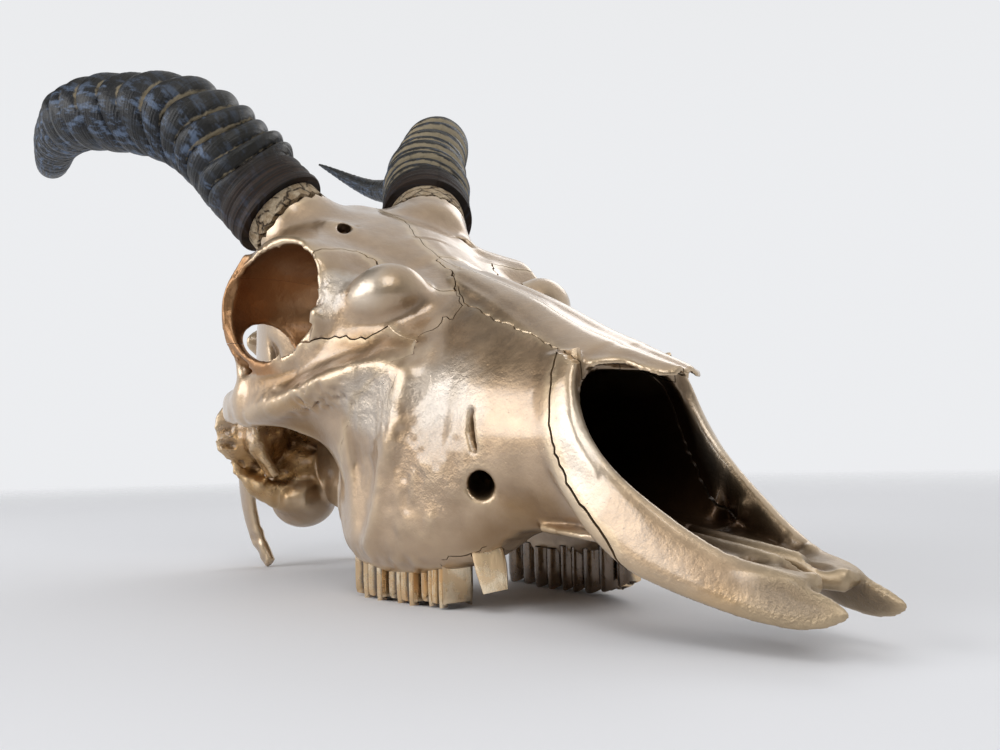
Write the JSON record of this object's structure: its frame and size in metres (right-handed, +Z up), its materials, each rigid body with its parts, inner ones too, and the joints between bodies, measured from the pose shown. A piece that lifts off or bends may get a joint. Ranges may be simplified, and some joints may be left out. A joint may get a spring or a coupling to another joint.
{
  "type": "gilded antelope skull",
  "caption": "Life-size blesbok skull with ringed horns, its bone finished in gold paint, resting on its cheek teeth as a table or wall ornament.",
  "frame": {"origin": "middle of the skull's footprint at table height", "axes": "+X from the back of the skull towards the tip of the nose, +Y towards the animal's left, +Z up from the table"},
  "size_m": [0.4687, 0.2219, 0.2399],
  "materials": {
    "gilded_bone": "glossy champagne-gold paint",
    "gilded_teeth": "glossy gold paint, dirt in the folds",
    "raw_horn_core": "bare porous bone",
    "horn_sheath": "dark ringed horn with a low sheen"
  },
  "bodies": {
    "root": {"braincase": "gilded_bone", "bulla_left": "gilded_bone", "bulla_right": "gilded_bone", "frontal_left": "gilded_bone", "frontal_right": "gilded_bone", "horn_core_left": "raw_horn_core", "horn_core_right": "raw_horn_core", "horn_left": "horn_sheath", "horn_right": "horn_sheath", "maxilla_left": "gilded_bone", "maxilla_right": "gilded_bone", "molar_1_left": "gilded_teeth", "molar_1_right": "gilded_teeth", "molar_2_left": "gilded_teeth", "molar_2_right": "gilded_teeth", "molar_3_left": "gilded_teeth", "molar_3_right": "gilded_teeth", "nasal_left": "gilded_bone", "nasal_right": "gilded_bone", "paroccipital_left": "gilded_bone", "paroccipital_right": "gilded_bone", "premaxilla_left": "gilded_bone", "premaxilla_right": "gilded_bone", "premolar_2_left": "gilded_teeth", "premolar_2_right": "gilded_teeth", "premolar_3_left": "gilded_teeth", "premolar_4_left": "gilded_teeth", "zygomatic_left": "gilded_bone", "zygomatic_right": "gilded_bone"}
  },
  "joints": []
}
